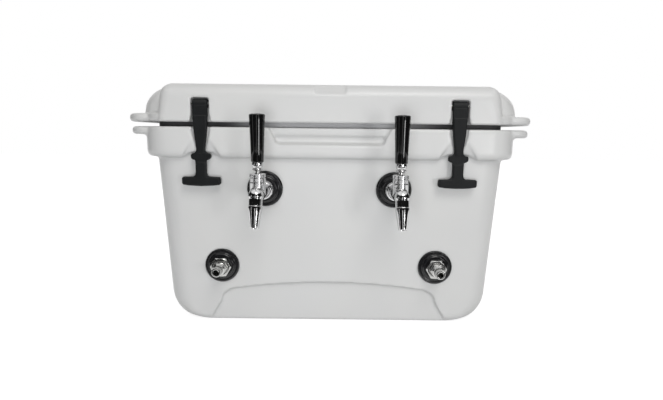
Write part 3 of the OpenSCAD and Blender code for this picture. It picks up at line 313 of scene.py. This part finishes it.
# Flanges: black glossy plastic washers that close the holes in the wall, with a stepped
# face towards the nut. The taps' and the inlets' are alike but for the bore and the reach.
black_gloss = finish_of("black gloss", ((0.006, 0.006, 0.007), (0.010, 0.010, 0.011)), (0.10, 0.17),
                        peel=(700, 0.00003), wave=(30, 0.0003), Specular_IOR_Level=0.55)
tap_bore, tap_reach = 11.5, 31.5
inlet_bore, inlet_reach = 9.4, 31
flange = [(tap_bore, 0), (tap_reach, 0), (tap_reach, 3.6), (29.6, 5.5), (26.5, 5.5), (25.6, 4.9),
          (24.4, 4.9), (23, 6), (22.6, 8), (21, 9), (16.5, 9), (15.6, 8.2), (tap_bore, 8.2)]
for side, sign in sides.items():
    for use, x, z, reach, bore in (("tap", tap_out, tap_z, tap_reach, tap_bore),
                                   ("inlet", inlet_out, inlet_z, inlet_reach, inlet_bore)):
        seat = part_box(f"{use}_flange_{side}")[1].y
        washer = turned([(min(max(r, bore), reach) if r > tap_bore else bore, h)
                         for r, h in flange], steps=96)
        facing(break_edges(washer, 0.45, segments=3), sign * x * mm, seat, z * mm, 90)
        add_piece(f"{use}_washer_plate_{side}", washer, "tub", black_gloss, "black_plastic",
                  f"{use}_flange_{side}", crease=50)

# Inlets: turned steel. A chamfered hexagon nut clamps the flange, and the nipple screws on
# in front of it, a short hexagon and then the plain spigot that the beer line pushes onto.


def hexagon(across, bore, height, chamfer):
    """A hexagon nut or shoulder along Z with chamfered corners and a bore, in millimetres."""
    land, corner = across / 2 - 0.4, across / 2 + chamfer
    bm = turned([(bore, 0), (land, 0), (corner, chamfer), (corner, height - chamfer),
                 (land, height), (bore, height)])
    for k in range(6):
        turn = math.radians(60 * k + 30)
        way = Vector((math.cos(turn), math.sin(turn), 0))
        cut = bmesh.ops.bisect_plane(bm, geom=bm.verts[:] + bm.edges[:] + bm.faces[:],
                                     dist=fine_weld, plane_co=way * across / 2 * mm,
                                     plane_no=way, clear_outer=True)
        rim = [e for e in cut["geom_cut"] if isinstance(e, bmesh.types.BMEdge)]
        bmesh.ops.holes_fill(bm, edges=rim, sides=0)
    bmesh.ops.recalc_face_normals(bm, faces=bm.faces)
    return bm


def joined(bm, more):
    """Adds a second form to the first and frees it."""
    mesh = bpy.data.meshes.new("more")
    more.to_mesh(mesh)
    more.free()
    bm.from_mesh(mesh)
    bpy.data.meshes.remove(mesh)
    return bm


nut_bore = 9.06
for side, sign in sides.items():
    nut = break_edges(hexagon(across=33, bore=nut_bore, height=10, chamfer=2.2), 0.35, angle=18)
    facing(nut, sign * inlet_out * mm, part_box(f"inlet_nut_{side}")[1].y, inlet_z * mm, 90)
    add_piece(f"inlet_hex_{side}", nut, "tub", steel, "steel", f"inlet_nut_{side}", crease=40)
    spigot = turned([(nut_bore, 0), (10.2, 0), (10.2, 11), (8.7, 12.5), (7.7, 14), (7.7, 15.5),
                     (8.5, 16.5), (8.5, 30.4), (7.7, 32), (5, 32), (5, 2.3), (nut_bore, 2.3)])
    shoulder = hexagon(across=22, bore=9.1, height=9.5, chamfer=1.4)
    spigot = joined(break_edges(spigot, 0.3, angle=30), break_edges(shoulder, 0.3, angle=18))
    facing(spigot, sign * inlet_out * mm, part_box(f"inlet_nipple_{side}")[1].y, inlet_z * mm, 90)
    add_piece(f"inlet_spigot_{side}", spigot, "tub", steel, "steel", f"inlet_nipple_{side}",
              crease=40)

# Taps: chromed castings. A ringed coupling nut draws the tap onto the shank, the spout hangs
# from the body at a slant, and a knurled bonnet holds the ball on which the lever tips.
chrome = finish_of("chrome", ((0.60, 0.60, 0.61), (0.66, 0.66, 0.66)), (0.05, 0.10),
                   peel=(1800, 0.00002), wave=(80, 0.0001), Metallic=1.0)
shank_z = tap_z * mm
spout_y, spout_turn, spout_down = -306.17 * mm, 162, 17 * mm
lever_y, bonnet_up, ferrule_z = -286.17 * mm, 20 * mm, 290 * mm
lever_bore, spout_bore = 4.8, 5
knurl_foot, knurl_r, knurl_length = 7 * mm, 12.7 * mm, 3 * mm
for side, sign in sides.items():
    tap_x = sign * tap_out * mm
    coupling = softened(f"tap_coupling_nut_{side}", voxel=0.45 * mm, rounds=2, share=0.5)
    add_piece(f"coupling_ring_{side}", coupling, "tub", chrome, "chrome",
              f"tap_coupling_nut_{side}", crease=60)
    tap_body = softened(f"faucet_body_{side}", voxel=0.5 * mm, rounds=4, share=0.5)
    add_piece(f"tap_body_{side}", tap_body, "tub", chrome, "chrome", f"faucet_body_{side}",
              crease=70)

    spout = turned([(spout_bore, 0), (10.9, 0), (11.2, 0.5), (11.15, 2.5), (10.9, 5), (10.3, 9),
                    (9.4, 15), (8.5, 21), (7.7, 27), (7.1, 32), (6.9, 33.4), (6.5, 34),
                    (spout_bore, 34)], steps=96)
    break_edges(spout, 0.25, angle=20)
    slant = Matrix.Rotation(math.radians(spout_turn), 4, "X")
    mouth = Matrix.Translation((tap_x, spout_y, shank_z)) @ slant
    bmesh.ops.transform(spout, matrix=mouth @ Matrix.Translation((0, 0, spout_down)),
                        verts=spout.verts)
    add_piece(f"pouring_spout_{side}", spout, "tub", chrome, "chrome", f"spout_{side}", crease=50)

    bonnet = turned([(7.6, 0), (12.2, 0), (12.7, 0.5), (12.7, 5.8), (12.2, 6.3), (11.2, 6.5),
                     (11.2, 7.4), (12.3, 7.6), (12.8, 8.1), (12.8, 12.6), (12.2, 13.2),
                     (8, 13.2), (7.3, 12), (6.1, 8.6), (7.6, 7.2)], steps=96)
    uprights = [e for e in bonnet.edges if e.is_manifold
                and abs(e.verts[0].co.z - e.verts[1].co.z) > knurl_length
                and e.verts[0].co.z > knurl_foot and e.verts[0].co.to_2d().length > knurl_r]
    uprights.sort(key=lambda e: math.atan2(e.verts[0].co.y, e.verts[0].co.x))
    bmesh.ops.bevel(bonnet, geom=uprights[::4], offset=0.4 * mm, segments=2, profile=0.0,
                    affect="EDGES", material=-1)
    bmesh.ops.translate(bonnet, vec=(tap_x, lever_y, shank_z + bonnet_up), verts=bonnet.verts)
    add_piece(f"bonnet_cap_{side}", bonnet, "tub", chrome, "chrome", f"bonnet_{side}", crease=35)

    ferrule = turned([(lever_bore, 0), (6.5, 0), (8.3, 1.2), (8.3, 3.2), (7.2, 4), (7.2, 4.9),
                      (8.0, 5.8), (8.9, 7.6), (9, 12.6), (8.4, 13.5), (lever_bore, 13.5)],
                     steps=96)
    break_edges(ferrule, 0.3, angle=20)
    bmesh.ops.translate(ferrule, vec=(tap_x, lever_y, ferrule_z), verts=ferrule.verts)
    add_piece(f"lever_ferrule_{side}", ferrule, f"lever_{side}", chrome, "chrome",
              f"ferrule_{side}", crease=50)
    for hidden, material in (("lever", steel), ("shuttle", steel), ("tap_washer", seal_rubber),
                             ("shuttle_seal", seal_rubber)):
        nodes[f"{hidden}_{side}"].data.materials[0] = material

# Handles: black phenolic knobs turned to a slow taper, polished, with a low domed top.
# The lever's stem passes through the ferrule and screws up into the knob.
handle_black = finish_of("handle black", ((0.003, 0.003, 0.003), (0.005, 0.005, 0.005)),
                         (0.06, 0.10), peel=(600, 0.00002), wave=(25, 0.0002))
knob_z = 303.5 * mm
for side, sign in sides.items():
    knob = turned([(lever_bore, 0), (9.2, 0), (10, 0.9), (10.6, 20), (11.3, 42), (12.1, 62),
                   (12.7, 72.4), (12.5, 73.8), (11.4, 74.8), (8, 75.6), (4, 75.9), (0, 76),
                   (0, 18.5), (lever_bore, 18.5)], steps=96)
    break_edges(knob, 0.5, angle=28, segments=3)
    bmesh.ops.translate(knob, vec=(sign * tap_out * mm, lever_y, knob_z), verts=knob.verts)
    add_piece(f"tap_knob_{side}", knob, f"lever_{side}", handle_black, "handle_black",
              f"handle_{side}", crease=50)

# Lid: the other moulded shell, foamed like the tub, hinged on two stainless rods. A soft
# gasket fills its gap, black at the ends; along the middle of its front it is painted a
# lighter grey, painted shade that stands for the white plastic seen in shadow in the gap.
lid_shell = moulded("lid", voxel=2.0 * mm, rounds=4, share=0.4)
add_piece("lid_shell", lid_shell, "lid", shell_white, "shell", "lid")
gasket_foam = finish_of("gasket foam", ((0.04, 0.04, 0.042), (0.06, 0.06, 0.062)), (0.55, 0.7),
                        peel=(1100, 0.0002), wave=(70, 0.0002))
# Painted shade: the front of the gasket turns a lighter grey towards the middle, standing for the
# white plastic seen in shadow in the gap.
painted_shade_grey, pale_half, dark_half = (0.5, 0.5, 0.51, 1), 0.08, 0.2
gap_shade_tree = gasket_foam.node_tree
placed = gap_shade_tree.nodes.new("ShaderNodeTexCoord").outputs
along = add_node(gap_shade_tree, "ShaderNodeSeparateXYZ", Vector=placed["Object"])
outward = add_node(gap_shade_tree, "ShaderNodeSeparateXYZ", Vector=placed["Normal"])
front = add_node(gap_shade_tree, "ShaderNodeMath", {"operation": "MULTIPLY", "use_clamp": True},
                 i0=outward.outputs["Y"], i1=-1.0)
middle = add_node(gap_shade_tree, "ShaderNodeMath", {"operation": "ABSOLUTE"}, i0=along.outputs["X"])
near = add_node(gap_shade_tree, "ShaderNodeMapRange", {"interpolation_type": "SMOOTHSTEP"},
                Value=middle.outputs[0], From_Min=pale_half, From_Max=dark_half, To_Min=1.0,
                To_Max=0.0)
painted_shade_mask = add_node(gap_shade_tree, "ShaderNodeMath", {"operation": "MULTIPLY"}, i0=near.outputs[0],
                i1=front.outputs[0])
foam = gap_shade_tree.nodes["Principled BSDF"].inputs["Base Color"]
# Mixes the painted shade grey into the foam's own black on the front faces near the middle.
painted_shade_mix = add_node(gap_shade_tree, "ShaderNodeMix", {"data_type": "RGBA"}, i0=painted_shade_mask.outputs[0],
                 i6=foam.links[0].from_socket, i7=painted_shade_grey)
gap_shade_tree.links.new(painted_shade_mix.outputs[2], foam)
nodes["lid_gasket"].data.materials[0] = gasket_foam
for side in sides:
    nodes[f"hinge_rod_{side}"].data.materials[0] = steel
    nodes[f"latch_pin_{side}"].data.materials[0] = steel

# Latches: T-shaped straps of charcoal rubber. Each hangs from a pin in the lid's pocket,
# hooks its wings under the collar and ends in a bar to pull. Outlines are (x, z) of the
# right half in millimetres, and depths are measured forward from the tub's middle.
latch_rubber = finish_of("latch rubber", ((0.008, 0.009, 0.0095), (0.013, 0.014, 0.015)),
                         (0.48, 0.6), peel=(900, 0.00008), wave=(45, 0.0003),
                         Specular_IOR_Level=0.25)
latch_out, pin_y, pin_z = 222, -213 * mm, 398 * mm
strap_half, roll_r, pin_hole_r = 12.5, 8, 2.56
strap_front, strap_back, pad_front, pad_back, hook_back = 221, 213.4, 221.9, 218, 210.6
half = [(strap_half, 394.4), (12.3, 378), (11.7, 362), (10.3, 346), (8.2, 329), (7.3, 322),
        (7.6, 317.5), (10.5, 314), (15.5, 312.8), (17, 310.5), (16.6, 305), (13.5, 302.6),
        (9.8, 302), (9.3, 298), (9.3, 280), (10.4, 275.6), (14, 273.2), (31.6, 272.6),
        (33.5, 270.4), (33.5, 262), (31.6, 259.2), (20, 257.6), (0, 256.8)]
upper_pad = [(10.6, 377), (10.2, 361), (8.8, 345), (6.4, 329), (5.4, 320), (5.4, 314)]
lower_pad = [(7.4, 298), (7.4, 279), (9, 272), (30, 270.4), (31, 262), (29, 260.6), (0, 259)]
hook = [(15.5, 312.4), (16.6, 310.5), (16.2, 305.3), (13.5, 302.9)]


def slab(outline, front, back):
    """A closed slab between two depths, from the right half of its front outline."""
    bm = bmesh.new()
    corners = [bm.verts.new((x * mm, -front * mm, z * mm)) for x, z in outline]
    corners += [bm.verts.new((-x * mm, -front * mm, z * mm))
                for x, z in reversed(outline) if x > 0]
    face = bm.faces.new(corners)
    grown = bmesh.ops.extrude_face_region(bm, geom=[face])["geom"]
    bmesh.ops.translate(bm, vec=(0, (front - back) * mm, 0),
                        verts=[v for v in grown if isinstance(v, bmesh.types.BMVert)])
    bmesh.ops.recalc_face_normals(bm, faces=bm.faces)
    return bm


for side, sign in sides.items():
    strap = slab(half, strap_front, strap_back)
    for pad, front, back in ((upper_pad, pad_front, pad_back), (lower_pad, pad_front, pad_back),
                             (hook, strap_front, hook_back)):
        joined(strap, slab(pad, front, back))
    rolled_top = turned([(pin_hole_r, -strap_half), (roll_r, -strap_half),
                         (roll_r, strap_half), (pin_hole_r, strap_half)])
    across = Matrix.Translation((0, pin_y, pin_z)) @ Matrix.Rotation(math.radians(90), 4, "Y")
    bmesh.ops.transform(rolled_top, matrix=across, verts=rolled_top.verts)
    strap = soften(joined(strap, rolled_top), voxel=0.6 * mm, rounds=4, share=0.6)
    bmesh.ops.translate(strap, vec=(sign * latch_out * mm, 0, 0), verts=strap.verts)
    add_piece(f"rubber_latch_{side}", strap, f"latch_{side}", latch_rubber, "latch_rubber",
              f"latch_strap_{side}")

# Floor and light: a white floor that runs into a white room and keeps a soft shadow, three
# lamps in front, one behind, and dark cards and mats that the chrome and the knobs mirror.


def seen_white(tree):
    """1 where the camera, a mirror or glass looks, and 0 for the light that falls on things."""
    rays = tree.nodes.new("ShaderNodeLightPath").outputs
    direct = add_node(tree, "ShaderNodeMath", {"operation": "MAXIMUM"},
                      i0=rays["Is Camera Ray"], i1=rays["Is Glossy Ray"])
    return add_node(tree, "ShaderNodeMath", {"operation": "MAXIMUM"}, i0=direct.outputs[0],
                    i1=rays["Is Transmission Ray"]).outputs[0]


def grey_of(name, grain, darkest, lightest, rough):
    """A matt grey that drifts a little over the surface."""
    material = bpy.data.materials.new(name)
    material.use_nodes = True
    tree = material.node_tree
    surface = tree.nodes["Principled BSDF"]
    noise = add_node(tree, "ShaderNodeTexNoise", Scale=grain)
    shade = add_node(tree, "ShaderNodeMapRange", Value=noise.outputs[0], To_Min=darkest,
                     To_Max=lightest)
    tree.links.new(shade.outputs[0], surface.inputs["Base Color"])
    surface.inputs["Roughness"].default_value = rough
    return material


def add_prop(name, bm, material):
    """A thing of the studio, which is no part of the object."""
    mesh = bpy.data.meshes.new(name)
    bm.to_mesh(mesh)
    bm.free()
    mesh.materials.append(material)
    prop = bpy.data.objects.new(name, mesh)
    bpy.context.scene.collection.objects.link(prop)
    return prop


floor_tone = grey_of("floor tone", grain=3.0, darkest=0.38, lightest=0.42, rough=0.8)
floor_tree = floor_tone.node_tree
floor_surface = floor_tree.nodes["Principled BSDF"].inputs
floor_glow = add_node(floor_tree, "ShaderNodeMath", {"operation": "MULTIPLY"},
                      i0=seen_white(floor_tree), i1=0.86)
floor_tree.links.new(floor_glow.outputs[0], floor_surface["Emission Strength"])
floor_surface["Emission Color"].default_value = (1, 1, 1, 1)
bm = bmesh.new()
bmesh.ops.create_grid(bm, x_segments=1, y_segments=1, size=6)
add_prop("floor", bm, floor_tone)

world = bpy.data.worlds.new("studio")
bpy.context.scene.world = world
world.use_nodes = True
sky = world.node_tree
bright = add_node(sky, "ShaderNodeMapRange", Value=seen_white(sky), To_Min=0.4, To_Max=1.0)
sky.links.new(bright.outputs[0], sky.nodes["Background"].inputs["Strength"])
sky.nodes["Background"].inputs["Color"].default_value = (1.0, 1.0, 1.0, 1)

card_black = grey_of("card black", grain=2.0, darkest=0.004, lightest=0.012, rough=1.0)
card_reach, card_centre = 3, -0.3
mat_near, mat_far, mat_z = -0.5, -2.6, 0.002
low_band, high_band = (0.02, 1), (1, 2.6)
cards = {}
for number, (start, end, band) in enumerate(
        ((-124, -64, low_band), (-58, -6, low_band), (4, 26, low_band), (38, 124, low_band),
         (-124, 124, high_band)), 1):
    cards[f"card_{number}"] = [
        [(card_reach * math.sin(math.radians(a)),
          card_centre - card_reach * math.cos(math.radians(a)), z) for z in band]
        for a in range(start, end + 1, 2)]
for name, left_x, right_x in (("mat_left", -2.2, -0.04), ("mat_right", 0.08, 2.2)):
    cards[name] = [[(x, y, mat_z) for y in (mat_near, mat_far)] for x in (left_x, right_x)]
for name, ribs in cards.items():
    bm = bmesh.new()
    rows = [[bm.verts.new(point) for point in rib] for rib in ribs]
    for (a, b), (c, d) in zip(rows, rows[1:]):
        bm.faces.new((a, b, d, c))
    card = add_prop(name, bm, card_black)
    card.visible_camera = False
    card.visible_diffuse = False
    card.visible_shadow = False

target = Vector((0, 0, 0.25))
for name, place, wide, high, power, colour, mirrored in (
        ("lamp_high", (0.45, -1.7, 1.9), 1.0, 1.0, 14.5, (1.0, 0.985, 0.96), True),
        ("lamp_low", (-0.06, -1.2, 0.19), 0.45, 0.3, 3.7, (0.97, 0.985, 1.0), False),
        ("lamp_right", (0.95, -1.75, 0.22), 0.3, 0.4, 4, (1.0, 1.0, 1.0), True),
        ("lamp_rear", (-0.4, 1.9, 1.2), 1.5, 1.5, 17, (1.0, 1.0, 1.0), False)):
    lamp = bpy.data.objects.new(name, bpy.data.lights.new(name, "AREA"))
    lamp.data.shape = "RECTANGLE"
    lamp.data.size = wide
    lamp.data.size_y = high
    lamp.data.energy = power
    lamp.data.color = colour
    lamp.location = place
    lamp.visible_glossy = mirrored
    lamp.rotation_euler = (target - Vector(place)).to_track_quat("-Z", "Y").to_euler()
    bpy.context.scene.collection.objects.link(lamp)
